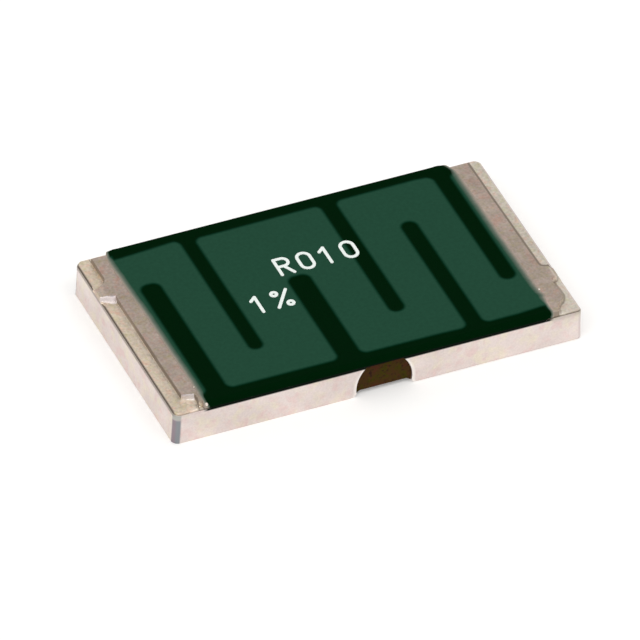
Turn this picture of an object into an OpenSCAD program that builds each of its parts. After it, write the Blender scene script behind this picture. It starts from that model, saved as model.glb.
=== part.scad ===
// Surface-mount shunt resistor: an etched alloy foil bonded on two copper terminal plates.
// The origin is the centre of the underside, X runs along the length and Z points up.

/* [Terminal plates] */
// Width of the plates
body_w = 4.1; // [3.9:0.05:5]
// Thickness of the plates
plate_t = 0.575; // [0.45:0.005:0.8]
// Radius of the plates' upright outer corners
corner_r = 0.12; // [0.06:0.01:0.2]

/* [Etched gap between the plates] */
// Place of the gap's middle, from the middle of the body
gap_shift = 0.1; // [-0.3:0.05:0.3]
// Widest width of the gap
gap_w = 0.97; // [0.8:0.01:1.4]
// Width of the gap at the top of the plates
gap_top_w = 0.62; // [0.4:0.01:0.75]
// Height at which the gap is widest
gap_lean_z = 0.15; // [0.12:0.01:0.25]
// Radius of the plates' lower edges along the gap
gap_foot_r = 0.08; // [0.02:0.01:0.1]

/* [Gap filler] */
// Height of the filler's underside above the solder faces
filler_z = 0.09; // [0.09:0.01:0.3]
// How far the filler stands back from the long sides
filler_recess = 0.05; // [0.02:0.01:0.2]
// Radius of the filler's creep along the plates' walls
creep_r = 0.02; // [0.02:0.005:0.05]
// Thickness of the creep at its lower end
creep_t = 0.02; // [0.01:0.005:0.05]

/* [Bond film] */
// Thickness of the adhesive film under the foil
film_t = 0.025; // [0.015:0.005:0.06]

/* [Resistor foil] */
// Thickness of the foil
foil_t = 0.065; // [0.03:0.005:0.1]
// Bare margin between the meander and the long sides
foil_margin = 0.22; // [0.12:0.01:0.4]
// Bare margin between the foil's end pads and the long sides
pad_margin = 0.12; // [0.05:0.01:0.13]
// Distance from the lacquer's ends to the middle of the outermost slits
slit_inset = 0.275; // [0.25:0.005:0.4]
// Widths of the six slits, from the left
slit_w = [0.365, 0.26, 0.4, 0.285, 0.295, 0.29]; // [0.15:0.005:0.45]
// Shift of each slit from its place in the even row
slit_shift = [0.005, -0.08, 0.125, 0.21, 0.125, 0.015]; // [-0.25:0.005:0.25]
// Width of foil left between each slit's tip and the far edge
bridge_w = [0.83, 0.70, 1.51, 0.72, 0.93, 0.80]; // [0.4:0.01:2]
// Radius of the slits' tips
slit_tip_r = 0.15; // [0.05:0.01:0.18]
// Radius of the foil's corners at the slits' mouths
slit_mouth_r = 0.12; // [0.03:0.01:0.15]

/* [Ends of the foil] */
// Length of each bare pad between the lacquer and the foil's step
pad_l = 0.28; // [0.25:0.01:0.6]
// Width of the low ledge between the foil's step and the plate's end
ledge_w = 0.27; // [0.15:0.01:0.3]
// Width of the low ledge in front of the right tie
right_front_ledge_w = 0.215; // [0.15:0.005:0.25]
// Distance of each tie from the long middle line
tie_y = 1.105; // [0.9:0.005:1.3]
// Width of the ties that run out towards the plates' ends
tie_w = 0.21; // [0.15:0.01:0.4]
// Distance of the ties' ends from the plates' ends
tie_end_in = 0.1; // [0.05:0.01:0.12]
// Radius of the windows' corners beside the ties
window_r = 0.07; // [0.03:0.005:0.07]
// Depth of the left front notch into the pad
left_notch_in = 0.21; // [0.12:0.01:0.24]
// Length of the left front notch from the front side
left_notch_up = 0.36; // [0.2:0.01:0.6]
// Depth of the right front notch into the pad
right_notch_in = 0.175; // [0.12:0.005:0.2]
// Length of the right front notch from the front side
right_notch_up = 0.24; // [0.15:0.01:0.6]
// Depth of the shallow jog behind the right front notch
right_jog_in = 0.09; // [0.02:0.01:0.12]
// Length of the shallow jog from the front side
right_jog_up = 0.32; // [0.2:0.01:0.7]

/* [Plated contacts] */
// Thickness of the plated layer over the ledge, the step and the pad
contact_t = 0.025; // [0.01:0.005:0.05]

/* [Lacquer] */
// Length of the lacquered area
lacquer_l = 6; // [5.2:0.05:8]
// Thickness of the lacquer over the foil
lacquer_t = 0.045; // [0.03:0.005:0.1]
// Radius of the lacquer's corners, seen from above
lacquer_corner_r = 0.12; // [0.05:0.01:0.2]
// Radius of the lacquer's upper long edges
lacquer_edge_r = 0.07; // [0.02:0.005:0.08]

/* [Value print] */
// Height of the printed characters
char_h = 0.44; // [0.25:0.01:0.6]
// Width of a printed character
char_w = 0.27; // [0.18:0.01:0.4]
// Clear space between characters
char_gap = 0.11; // [0.06:0.01:0.2]
// Width of a printed stroke
stroke_w = 0.055; // [0.03:0.005:0.08]
// Thickness of the ink
ink_t = 0.012; // [0.01:0.002:0.03]
// Place of the value line's middle along the length
value_x = 0.05; // [-0.5:0.05:0.5]
// Place of the value line's middle across the width
value_y = 0.6; // [0.2:0.05:1]
// Place of the tolerance line's middle along the length
tolerance_x = -1.08; // [-1.4:0.02:0]
// Place of the tolerance line's middle across the width
tolerance_y = -0.13; // [-1:0.01:0]

/* [Hidden] */
$fn = 64;
over = 1;    // how far cutting shapes run past what they cut
lap = 0.03;  // how far the meander's strip runs on from the lacquered area into the pads

film_z = plate_t;
foil_z = film_z + film_t;
pad_z = foil_z + foil_t;
contact_z = pad_z + contact_t;
lacquer_z = pad_z + lacquer_t;

// From the middle outwards: the lacquered area, the bare pad and the low ledge
lacquer_x = lacquer_l / 2;
step_x = lacquer_x + pad_l;
half_l = step_x + ledge_w;
half_w = body_w / 2;
meander_y = half_w - foil_margin;
pad_y = half_w - pad_margin;

// Each wall of the gap is an arc: upright at its widest place, and leaning in towards the top
lean_in = (gap_w - gap_top_w) / 2;
lean_h = plate_t - gap_lean_z;
lean_r = (lean_h * lean_h + lean_in * lean_in) / (2 * lean_in);

// Half of the gap's width at a height
function gap_half(z) = gap_w / 2 - lean_r + sqrt(lean_r * lean_r - pow(z - gap_lean_z, 2));

slit_count = len(slit_w);
slit_pitch = (lacquer_l - 2 * slit_inset) / (slit_count - 1);

copper_tinned = [0.88, 0.83, 0.80];
tin_pad = [0.72, 0.67, 0.61];
foil_brown = [0.55, 0.42, 0.34];
film_brown = [0.22, 0.15, 0.09];
filler_brown = [0.25, 0.20, 0.09];
lacquer_green = [0.10, 0.24, 0.17];
ink_white = [0.93, 0.95, 0.93];

// A rectangle between two corners, with its four corners rounded
module rounded_box(low, high, r) {
    size = high - low;
    translate(low + [r, 0]) square([size[0] - 2 * r, size[1]]);
    translate(low + [0, r]) square([size[0], size[1] - 2 * r]);
    for (x = [low[0] + r, high[0] - r], y = [low[1] + r, high[1] - r])
        translate([x, y]) circle(r);
}

// A rounded rectangle at the left or right end, its two places along X counted from the middle
module end_box(end, from_x, to_x, from_y, to_y, r) {
    if (end < 0) rounded_box([-to_x, from_y], [-from_x, to_y], r);
    else rounded_box([from_x, from_y], [to_x, to_y], r);
}

// A plain rectangle of the same kind, as wide on both sides of the middle line
module end_strip(end, from_x, to_x, reach_y) {
    translate([end < 0 ? -to_x : from_x, -reach_y]) square([to_x - from_x, 2 * reach_y]);
}

// Outline of both plates together, seen from above
module body_outline() {
    rounded_box([-half_l, -half_w], [half_l, half_w], corner_r);
}

// Section of the etched gap, seen from the front, with Z as its second direction
module gap_section() {
    intersection() {
        translate([-gap_w, -over]) square([2 * gap_w, over + plate_t]);
        intersection_for (side = [-1, 1])
            translate([side * (gap_w / 2 - lean_r), gap_lean_z]) circle(lean_r, $fn = 128);
    }
}

// What the plates' rounded lower edges leave free beside the gap
module foot_section() {
    foot_x = gap_half(gap_foot_r);
    difference() {
        translate([-foot_x - gap_foot_r, -over])
            square([2 * (foot_x + gap_foot_r), over + gap_foot_r]);
        for (side = [-1, 1])
            translate([side * (foot_x + gap_foot_r), gap_foot_r]) circle(gap_foot_r);
    }
}

// A section in X and Z, drawn out along the width
module across(depth) {
    translate([gap_shift, depth / 2, 0]) rotate([90, 0, 0]) linear_extrude(depth) children();
}

// One terminal plate: half of the body, cut back to the gap's wall
module base_plate(side) {
    color(copper_tinned)
    difference() {
        linear_extrude(plate_t) intersection() {
            body_outline();
            translate([gap_shift + (side > 0 ? 0 : -2 * half_l), -body_w])
                square([2 * half_l, 2 * body_w]);
        }
        across(body_w + 2 * over) {
            gap_section();
            foot_section();
        }
    }
}

module left_base_plate() { base_plate(-1); }
module right_base_plate() { base_plate(1); }

// Filler between the plates, with a hollow underside that creeps down both walls
module gap_filler() {
    color(filler_brown)
    across(body_w - 2 * filler_recess) difference() {
        gap_section();
        hollow_w = gap_half(filler_z) - creep_t;
        rounded_box([-hollow_w, -2 * over], [hollow_w, filler_z], creep_r);
        translate([-gap_w, -2 * over]) square([2 * gap_w, 2 * over + filler_z - creep_r]);
    }
}

// One slit, open towards the front for side 1 and towards the back for side -1
module slit(i, side) {
    x = side * (-lacquer_x + slit_inset + i * slit_pitch + slit_shift[i]);
    tip = meander_y - bridge_w[i];
    r = min(slit_tip_r, slit_w[i] / 2 - 0.005);
    rotate(side > 0 ? 0 : 180) {
        rounded_box([x - slit_w[i] / 2, -meander_y - over], [x + slit_w[i] / 2, tip], r);
        for (edge = [-1, 1]) difference() {
            translate([x + edge * (slit_w[i] + slit_mouth_r) / 2, -meander_y])
                square([slit_mouth_r, 2 * slit_mouth_r], center = true);
            translate([x + edge * (slit_w[i] / 2 + slit_mouth_r), -meander_y + slit_mouth_r])
                circle(slit_mouth_r);
        }
    }
}

// Windows that leave the ledge free, beside the tie of one end, drawn smaller by shrink
module end_windows(end, shrink) {
    notches = end < 0 ? [[left_notch_in, left_notch_up]]
                      : [[right_notch_in, right_notch_up], [right_jog_in, right_jog_up]];
    front_x = end < 0 ? step_x : half_l - right_front_ledge_w;
    r = window_r - shrink / 2;
    out_x = half_l + over;
    out_y = half_w + over;
    tie_low = -end * tie_y - tie_w / 2 - shrink;
    tie_high = -end * tie_y + tie_w / 2 + shrink;
    end_box(end, front_x + shrink, out_x, -out_y, tie_low, r);
    end_box(end, step_x + shrink, out_x, tie_high, out_y, r);
    for (notch = notches)
        end_box(end, front_x - notch[0] + shrink, out_x, -out_y, -half_w + notch[1] - shrink, r);
}

// Pad and tie of one end, seen from above, drawn larger by grow
module end_pad(end, grow) {
    difference() {
        end_strip(end, lacquer_x, half_l - tie_end_in + grow, pad_y + grow);
        end_windows(end, grow);
    }
}

// Outline of the lacquered area
module lacquer_outline() {
    rounded_box([-lacquer_x, -half_w], [lacquer_x, half_w], lacquer_corner_r);
}

// Adhesive film: all of the lacquered area, and what lies under the foil's pads and ties
module bond_film() {
    color(film_brown)
    translate([0, 0, film_z]) linear_extrude(film_t) {
        lacquer_outline();
        meander_area();
        for (end = [-1, 1]) end_pad(end, 0);
    }
}

// The strip that holds the meander, run on a little into both pads
module meander_area() {
    translate([-lacquer_x - lap, -meander_y]) square([lacquer_l + 2 * lap, 2 * meander_y]);
}

// Outline of the etched foil: a meander between two pads
module foil_outline() {
    difference() {
        meander_area();
        for (i = [0 : slit_count - 1]) slit(i, i % 2 == 0 ? 1 : -1);
    }
    for (end = [-1, 1]) end_pad(end, 0);
}

module resistor_foil() {
    color(foil_brown)
    translate([0, 0, foil_z]) linear_extrude(foil_t) foil_outline();
}

// Plating of one end: flat on the ledge, up the step and over the foil's pad
module contact(end) {
    color(tin_pad)
    difference() {
        union() {
            translate([0, 0, film_z]) linear_extrude(foil_z - film_z) end_area(end);
            translate([0, 0, film_z]) linear_extrude(contact_z - film_z) intersection() {
                end_area(end);
                end_pad(end, contact_t);
            }
        }
        translate([0, 0, film_z - over]) linear_extrude(over + pad_z - film_z) end_pad(end, 0);
    }
}

// All of one end that the lacquer leaves free
module end_area(end) {
    difference() {
        intersection() {
            body_outline();
            end_strip(end, lacquer_x - lacquer_corner_r, half_l + over, body_w);
        }
        lacquer_outline();
    }
}

module left_contact() { contact(-1); }
module right_contact() { contact(1); }

// Lacquer: rounded along the long sides, and sunk into the slits down to the film
module lacquer() {
    color(lacquer_green)
    difference() {
        intersection() {
            translate([0, 0, foil_z]) linear_extrude(lacquer_z - foil_z) lacquer_outline();
            translate([-half_l, 0, 0]) rotate([90, 0, 90]) linear_extrude(2 * half_l)
                rounded_box([-half_w, -over], [half_w, lacquer_z], lacquer_edge_r);
        }
        translate([0, 0, foil_z - over]) linear_extrude(over + foil_t) foil_outline();
    }
}

// Printed characters, each drawn with its lower left corner at the origin
module char_zero(w = char_w, h = char_h) {
    inner_w = w - 2 * stroke_w;
    difference() {
        rounded_box([0, 0], [w, h], w / 2 - 0.005);
        rounded_box([stroke_w, stroke_w], [stroke_w + inner_w, h - stroke_w], inner_w / 2 - 0.005);
    }
}

module char_one() {
    translate([(char_w - stroke_w) / 2, 0]) square([stroke_w, char_h]);
    stroke([(char_w - stroke_w) / 2, char_h - stroke_w / 2], [char_w * 0.15, char_h * 0.75]);
}

module char_r() {
    waist = char_h * 0.45;
    bowl_r = (char_h - waist) / 2;
    square([stroke_w, char_h]);
    difference() {
        rounded_box([0, waist], [char_w, char_h], bowl_r - 0.005);
        rounded_box([stroke_w, waist + stroke_w], [char_w - stroke_w, char_h - stroke_w],
                    bowl_r - stroke_w - 0.005);
    }
    translate([0, waist]) square([bowl_r, stroke_w]);
    translate([0, char_h - stroke_w]) square([bowl_r, stroke_w]);
    stroke([char_w * 0.5, waist + stroke_w / 2], [char_w - stroke_w / 2, stroke_w / 2]);
}

module char_percent() {
    ring = char_w * 0.55;
    stroke([char_w * 0.1, stroke_w / 2], [char_w * 1.1, char_h - stroke_w / 2]);
    translate([0, char_h - ring]) char_zero(ring, ring);
    translate([char_w * 1.2 - ring, 0]) char_zero(ring, ring);
}

// A straight stroke with round ends between two points
module stroke(from, to) {
    run = to - from;
    translate(from) rotate(atan2(run[1], run[0])) translate([0, -stroke_w / 2])
        square([norm(run), stroke_w]);
    for (end = [from, to]) translate(end) circle(d = stroke_w);
}

// A resistance value and a tolerance, printed on top of the lacquer
module value_print() {
    advance = char_w + char_gap;
    value_l = 4 * advance - char_gap;
    tolerance_l = 2 * advance - char_gap;
    color(ink_white)
    translate([0, 0, lacquer_z]) linear_extrude(ink_t) {
        translate([value_x - value_l / 2, value_y - char_h / 2]) {
            char_r();
            for (place = [1, 3]) translate([place * advance, 0]) char_zero();
            translate([2 * advance, 0]) char_one();
        }
        translate([tolerance_x - tolerance_l / 2, tolerance_y - char_h / 2]) {
            char_one();
            translate([advance, 0]) char_percent();
        }
    }
}

left_base_plate();
right_base_plate();
gap_filler();
bond_film();
resistor_foil();
left_contact();
right_contact();
lacquer();
value_print();
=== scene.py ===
import math

import bpy
import numpy as np
from mathutils import Matrix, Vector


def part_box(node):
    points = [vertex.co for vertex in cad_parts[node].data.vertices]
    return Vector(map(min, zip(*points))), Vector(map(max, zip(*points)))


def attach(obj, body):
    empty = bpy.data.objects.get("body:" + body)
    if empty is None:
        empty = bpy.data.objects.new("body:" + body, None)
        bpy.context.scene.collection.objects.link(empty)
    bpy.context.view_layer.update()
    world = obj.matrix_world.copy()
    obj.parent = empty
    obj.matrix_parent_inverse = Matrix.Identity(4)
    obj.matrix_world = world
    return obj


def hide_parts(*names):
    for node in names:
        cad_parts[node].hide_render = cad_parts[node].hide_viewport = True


# Foil shunt resistor, 7.1 mm long. The CAD model is the frame and Blender adds the finish.
# Shapes are worked out in millimetres with numpy and go into the meshes in metres.
mm = 0.001
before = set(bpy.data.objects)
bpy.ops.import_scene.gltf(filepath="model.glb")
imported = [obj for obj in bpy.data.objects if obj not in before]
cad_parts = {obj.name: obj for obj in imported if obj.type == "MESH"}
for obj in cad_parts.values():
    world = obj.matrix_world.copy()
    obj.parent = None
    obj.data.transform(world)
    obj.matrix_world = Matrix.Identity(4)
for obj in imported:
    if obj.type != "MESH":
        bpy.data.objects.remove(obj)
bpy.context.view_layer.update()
print("frame loaded:", ", ".join(sorted(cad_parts)))


def nodeBox(name):  # lowest and highest corner of a CAD node, in mm
    low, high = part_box(name)
    return np.array(low) / mm, np.array(high) / mm


# What the pieces share, all read from the frame
halfLength, halfWidth, plateTop = nodeBox("right_base_plate")[1]
filmTop = nodeBox("bond_film")[1][2]
foilTop = nodeBox("resistor_foil")[1][2]
contactTop = nodeBox("right_contact")[1][2]
lacquerTop = nodeBox("lacquer")[1][2]
fillerLow, fillerHigh = nodeBox("gap_filler")
gapMiddle = (fillerLow[0] + fillerHigh[0]) / 2
inkTop = nodeBox("value_print")[1][2]


def addObject(name, data):
    obj = bpy.data.objects.new(name, data)
    bpy.context.scene.collection.objects.link(obj)
    return obj


def placeObject(obj, right, up, back, place):  # its own x, y and z directions, and its place in metres
    rows = np.column_stack([right, up, back, place]).tolist()
    obj.matrix_world = Matrix(rows + [[0, 0, 0, 1]])


# The photograph's camera: a long lens a little above the front left corner
camera = dict(
    azimuth=24.91,  # degrees to the left of square on to the long side
    elevation=40.11,
    roll=2.05,
    distance=250,  # mm from the origin
    pixelsPerMm=62.26,  # at the origin
    imageWidth=640,
    sensor=36,
    originRight=7.2,  # where the origin lies from the image's middle, in pixels
    originUp=5.2,
)


def addCamera(c):
    turn, lift, roll = (math.radians(c[k]) for k in ("azimuth", "elevation", "roll"))
    right = np.array([math.cos(turn), -math.sin(turn), 0])
    back = np.array([-math.sin(turn) * math.cos(lift), -math.cos(turn) * math.cos(lift), math.sin(lift)])
    up = np.cross(back, right)
    rolledRight = math.cos(roll) * right + math.sin(roll) * up
    rolledUp = math.cos(roll) * up - math.sin(roll) * right
    aim = -(rolledRight * c["originRight"] + rolledUp * c["originUp"]) / c["pixelsPerMm"]
    data = bpy.data.cameras.new("photoCamera")
    data.sensor_width = c["sensor"]
    data.lens = c["pixelsPerMm"] * c["distance"] * c["sensor"] / c["imageWidth"]
    data.clip_start = 0.01
    obj = addObject("photoCamera", data)
    placeObject(obj, rolledRight, rolledUp, back, (aim + back * c["distance"]) * mm)
    bpy.context.scene.camera = obj


addCamera(camera)
print("camera placed")


# Small helpers for materials


def hexLinear(code):  # an sRGB hex colour as linear red, green, blue and alpha
    parts = [int(code[i:i + 2], 16) / 255 for i in (1, 3, 5)]
    return [p / 12.92 if p <= 0.04045 else ((p + 0.055) / 1.055) ** 2.4 for p in parts] + [1]


def grainScale(size):  # a noise's scale on Object coordinates, for grains of this size in mm
    return 1 / (size * mm)


def addNode(tree, kind, inputs=None, output=0, **settings):
    # One node. Inputs go by name or number and are a value or a socket to link. Gives one output socket.
    node = tree.nodes.new("ShaderNode" + kind)
    for name, value in settings.items():
        setattr(node, name, value)
    for key, value in (inputs or {}).items():
        if isinstance(value, bpy.types.NodeSocket):
            tree.links.new(value, node.inputs[key])
        else:
            node.inputs[key].default_value = value
    return node.outputs[output] if node.outputs else node


def emptyMaterial(name):
    material = bpy.data.materials.new(name)
    material.use_nodes = True
    material.node_tree.nodes.clear()
    return material, material.node_tree


def newMaterial(name, finish, look):
    # The finish draws its nodes on Object coordinates, from the look's values, and gives the shader's inputs
    material, tree = emptyMaterial(name)
    inputs = finish(tree, addNode(tree, "TexCoord", output="Object"), look)
    addNode(tree, "OutputMaterial", {"Surface": addNode(tree, "BsdfPrincipled", inputs)})
    return material


def layTints(tree, colour, look, layers, interpolation="LINEAR", most=1, blend="MIX"):
    # Each layer brings in one of the look's tints where its source rises from one value to another
    for source, low, high, tint in layers:
        share = addNode(tree, "MapRange", {"Value": source, "From Min": low, "From Max": high,
                                           "To Max": most}, interpolation_type=interpolation)
        colour = addNode(tree, "Mix", {0: share, 6: colour, 7: hexLinear(look[tint])}, 2,
                         data_type="RGBA", blend_type=blend)
    return colour


def shadeByGrain(tree, colour, *grains):  # each noise darkens and lightens the colour between two shares
    for noise, dark, light in grains:
        shade = addNode(tree, "MapRange", {"Value": noise, "From Min": 0.3, "From Max": 0.7, "To Min": dark,
                                           "To Max": light})
        colour = addNode(tree, "VectorMath", {0: colour, "Scale": shade}, operation="SCALE")
    return colour


# Small helpers for meshes


def smoothStep(low, high, value):
    t = np.clip((value - low) / (high - low), 0, 1)
    return t * t * (3 - 2 * t)


def softSpan(low, high, margin, value):  # 1 from low to high, and eased to 0 over a margin on both sides
    return smoothStep(low - margin, low, value) * smoothStep(high + margin, high, value)


def quarterDrop(distance, radius):  # how far a quarter round has sunk, by the distance from its edge
    within = np.clip(radius - distance, 0, radius)
    return radius - np.sqrt(radius ** 2 - within ** 2)


def softNoise(x, y, size, seed):  # random values on a square lattice of this size in mm, eased between
    lattice = np.random.default_rng(seed).random((256, 256)) * 2 - 1
    column, row = x / size + 64, y / size + 64
    c, r = np.floor(column).astype(int), np.floor(row).astype(int)
    across, along = smoothStep(0, 1, column - c), smoothStep(0, 1, row - r)
    low = lattice[r % 256, c % 256] * (1 - across) + lattice[r % 256, (c + 1) % 256] * across
    high = lattice[(r + 1) % 256, c % 256] * (1 - across) + lattice[(r + 1) % 256, (c + 1) % 256] * across
    return low * (1 - along) + high * along


def denseLines(low, high, step, places, finest, reach):
    # Ordered places from low to high, a step apart, and closer together the nearer they are to one of the
    # given places: the lines' density rises there as a bell curve, and its running sum is cut evenly
    fine = np.linspace(low, high, 4001)
    nearest = np.min(((fine[:, None] - np.array(places)) / reach) ** 2, axis=1)
    density = 1 / step + (1 / finest - 1 / step) * np.exp(-nearest)
    run = np.concatenate([[0], np.cumsum((density[1:] + density[:-1]) / 2)]) * (fine[1] - fine[0])
    return np.interp(np.linspace(0, run[-1], math.ceil(run[-1]) + 1), run, fine)


def gridFaces(rows, columns, wrap=False):  # quads between the neighbours of a grid of points
    index = np.arange(rows * columns).reshape(rows, columns)
    if wrap:
        index = np.hstack([index, index[:, :1]])
    corners = [index[:-1, :-1], index[:-1, 1:], index[1:, 1:], index[1:, :-1]]
    return np.stack(corners, axis=-1).reshape(-1, 4).tolist()


def ringSurface(points):  # rings of points, ordered upwards or along, closed by a flat end at each side
    rows, columns = points.shape[:2]
    first = np.arange(columns)[::-1].tolist()
    last = ((rows - 1) * columns + np.arange(columns)).tolist()
    return points.reshape(-1, 3), gridFaces(rows, columns, wrap=True) + [first, last]


def reliefSurface(x, y, z, baseHeight, values):
    # A surface of heights over a grid, with walls down to a flat base. Rows run along x and climb in y.
    rows, columns = x.shape
    index = np.arange(rows * columns).reshape(rows, columns)
    rim = np.concatenate([index[0, :-1], index[:-1, -1], index[-1, :0:-1], index[:0:-1, 0]])
    top = np.stack([x, y, z], axis=-1).reshape(-1, 3)
    foot = top[rim].copy()
    foot[:, 2] = baseHeight
    footIndex = rows * columns + np.arange(len(rim))
    nextRim, nextFoot = np.roll(rim, -1), np.roll(footIndex, -1)
    walls = np.stack([footIndex, nextFoot, nextRim, rim], axis=-1).tolist()
    faces = gridFaces(rows, columns) + walls + [footIndex[::-1].tolist()]
    allValues = {key: np.concatenate([value.ravel(), value.ravel()[rim]]) for key, value in values.items()}
    return np.vstack([top, foot]), faces, allValues


def joinSurfaces(surfaces):  # closed surfaces as one, each given as its points, faces and point values
    points = np.vstack([part[0] for part in surfaces])
    values = {key: np.concatenate([part[2][key] for part in surfaces]) for key in surfaces[0][2]}
    faces, count = [], 0
    for part in surfaces:
        faces += [[i + count for i in face] for face in part[1]]
        count += len(part[0])
    return points, faces, values


def addPiece(name, surface, material, node):
    # A surface is its points, its faces and a value per point for each attribute that its material reads
    points, faces, values = surface
    mesh = bpy.data.meshes.new(name)
    mesh.from_pydata((points * mm).tolist(), [], faces)
    for key, value in values.items():
        mesh.attributes.new(key, "FLOAT", "POINT").data.foreach_set("value", value.astype(np.float32))
    mesh.shade_smooth()
    mesh.set_sharp_from_angle(angle=math.radians(40))  # sharper edges stay crisp
    mesh.materials.append(material)
    piece = addObject(name, mesh)
    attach(piece, "root")
    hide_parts(node)
    print(name, "made:", len(points), "points")


def topOutline(name, height):
    # The outline of a CAD node's flat faces at one height: the sides that only one of their triangles has
    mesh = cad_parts[name].data
    points = np.zeros(len(mesh.vertices) * 3)
    mesh.vertices.foreach_get("co", points)
    points = np.round(points.reshape(-1, 3) / mm, 4)
    mesh.calc_loop_triangles()
    corners = np.zeros(len(mesh.loop_triangles) * 3, int)
    mesh.loop_triangles.foreach_get("vertices", corners)
    triangles = points[corners].reshape(-1, 3, 3)
    level = np.all(np.abs(triangles[:, :, 2] - height) < 1e-3, axis=1)
    flat = triangles[level][:, :, :2]
    sides = np.concatenate([flat[:, [0, 1]], flat[:, [1, 2]], flat[:, [2, 0]]])
    ends = sides.round(3)  # both triangles name a shared side alike once its ends are put in order
    startX, startY, endX, endY = ends.reshape(-1, 4).T
    turned = (startX > endX) | ((startX == endX) & (startY > endY))
    ends[turned] = ends[turned][:, ::-1]
    _, first, count = np.unique(ends.reshape(-1, 4), axis=0, return_index=True, return_counts=True)
    return sides[first[count == 1]]


def sidesDistance(sides, x, y):  # distance of each point from the nearest of straight sides
    nearest = np.full(np.broadcast(x, y).shape, 1e9)
    for (ax, ay), (bx, by) in sides:
        run = (bx - ax) ** 2 + (by - ay) ** 2
        share = np.clip(((x - ax) * (bx - ax) + (y - ay) * (by - ay)) / max(run, 1e-12), 0, 1)
        nearest = np.minimum(nearest, (x - ax - share * (bx - ax)) ** 2 + (y - ay - share * (by - ay)) ** 2)
    return np.sqrt(nearest)


def outlineDistance(sides, x, y):
    # Distance from a closed outline, below zero outside it. A point is inside where a ray to its right
    # crosses the outline an odd number of times.
    inside = np.zeros(np.broadcast(x, y).shape, bool)
    for (ax, ay), (bx, by) in sides:
        if ay != by:
            inside ^= ((ay > y) != (by > y)) & (x < ax + (y - ay) * (bx - ax) / (by - ay))
    return sidesDistance(sides, x, y) * np.where(inside, 1, -1)


# Terminal plates: tin on copper, matt and faintly mottled. The pairs are for the left and the right plate.
plate = dict(
    frontRadius={-1: 0.12, 1: 0.07},  # upright outer corners
    backRadius={-1: 0.12, 1: 0.12},
    lowerEdge={-1: 0.012, 1: 0.03},  # rounding of the lower outer edges
    flare={-1: 0.015, 1: 0.013},  # the sheared end leans out this far at its foot
    upperEdge=0.008,
    highlightStrip=(0.015, 0.05),  # a painted highlight lies on the flanks beside the gap, and they are plain from the second on
    lacquerEnds=(2.98, 3.06),  # green lacquer has run over the upper edge up to here
    bleed=(0.045, 0.022),  # the run ends at this depth
    rimDepth=(0.055, 0.02),  # painted shade: a dark line along the upper edge beyond it
    # strength of that painted line on the front side and at the outer end
    frontRimShade={-1: 0.1, 1: 0.35},
    outerRimShade={-1: 0.7, 1: 0.0},
    duskDepth=0.11,  # and a faint soft band of painted shade below that line
    dusk={-1: 0.0, 1: 0.4},
    rimLevels=(0.065, 0.05, 0.04, 0.032, 0.026, 0.02, 0.014),  # depths of the levels that draw the line
    gapEdge=0.018,  # upright edges along the gap
    gapFoot=0.08,  # lower edges along the gap
    gapWidestHeight=0.15,
    cornerSteps=16,
    frontCornerShade={-1: 1.0, 1: 0.2},  # how strongly painted shade darkens the sheared corners, in place of a dark reflection
    backCornerShade={-1: 0.5, 1: 0.4},
    cornerShadeTop=(0.495, 0.465),  # heights over which that dies out
    shoulder=(0.46, 0.5),  # and over which a paler shoulder of that painted shade takes its place
    shadeInset=0.009,  # painted shade on the margin of the top, in the crevice beside the plated contact, starts here
    # strength of the painted shade on the margin, on the front side and at the outer end
    frontEdgeShade={-1: 0.3, 1: 0.8},
    outerEdgeShade={-1: 1.0, 1: 0.0},
)
# In every look, grain, mottle and the like are sizes in mm
# Painted light in the tin's look: a painted highlight for the flanks beside the gap, painted shade in mauve,
# slate and a paler shoulder for the sheared corners, and painted shade for the top's margin and upper edge
plateTin = dict(base="#E2D6D2", cream="#E5DBCC", rose="#E1CCC8", gapHighlight="#FAF5F0", mauve="#968990",
                slate="#8C9094", shoulder="#AEB0AA", edgeShade="#8D8277", bleed="#04150A", mottle=0.22,
                drift=0.6, grain=0.03, roughness=(0.4, 0.49))


def tinFinish(tree, place, look):
    # Matt electroplated tin: the base is a pale metal, and its fine grain spreads every reflection.
    # Faint cream and rose clouds come from the tumbled copper below. Painted shade darkens the sheared
    # corners in place of a dark reflection, a painted highlight lightens the flanks beside the gap, and
    # painted shade lines the top's margin and the upper edge.
    cloud, grain, drift = (
        addNode(tree, "TexNoise", {"Vector": place, "Scale": grainScale(look[size]), "Detail": detail})
        for size, detail in (("mottle", 4.0), ("grain", 2.0), ("drift", 2.0)))
    other = addNode(tree, "TexNoise", {"Vector": place, "W": 5.3, "Scale": grainScale(look["mottle"] * 0.7),
                                       "Detail": 3.0}, noise_dimensions="4D")
    layers = [(cloud, 0.46, 0.64, "cream"), (other, 0.5, 0.68, "rose")]
    colour = layTints(tree, hexLinear(look["base"]), look, layers)
    colour = shadeByGrain(tree, colour, (grain, 0.95, 1.04), (drift, 0.94, 1.06))
    # the corners' painted shade: mauve on the front side, turning slate towards the end
    turn = addNode(tree, "Attribute", output="Fac", attribute_name="turn")
    dull = addNode(tree, "Mix", {0: turn, 6: hexLinear(look["mauve"]), 7: hexLinear(look["slate"])}, 2,
                   data_type="RGBA")
    for tone in ("gapHighlight", "shoulder", "corner", "edgeShade", "bleed"):
        share = addNode(tree, "Attribute", output="Fac", attribute_name=tone)
        tint = dull if tone == "corner" else hexLinear(look[tone])
        colour = addNode(tree, "Mix", {0: share, 6: colour, 7: tint}, 2, data_type="RGBA")
    low, high = look["roughness"]
    rough = addNode(tree, "MapRange", {"Value": cloud, "From Min": 0.3, "From Max": 0.7, "To Min": low,
                                       "To Max": high})
    bump = addNode(tree, "Bump", {"Height": grain, "Strength": 0.2, "Distance": 0.004 * mm})
    return {"Base Color": colour, "Metallic": 1.0, "Roughness": rough, "Normal": bump}


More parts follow.
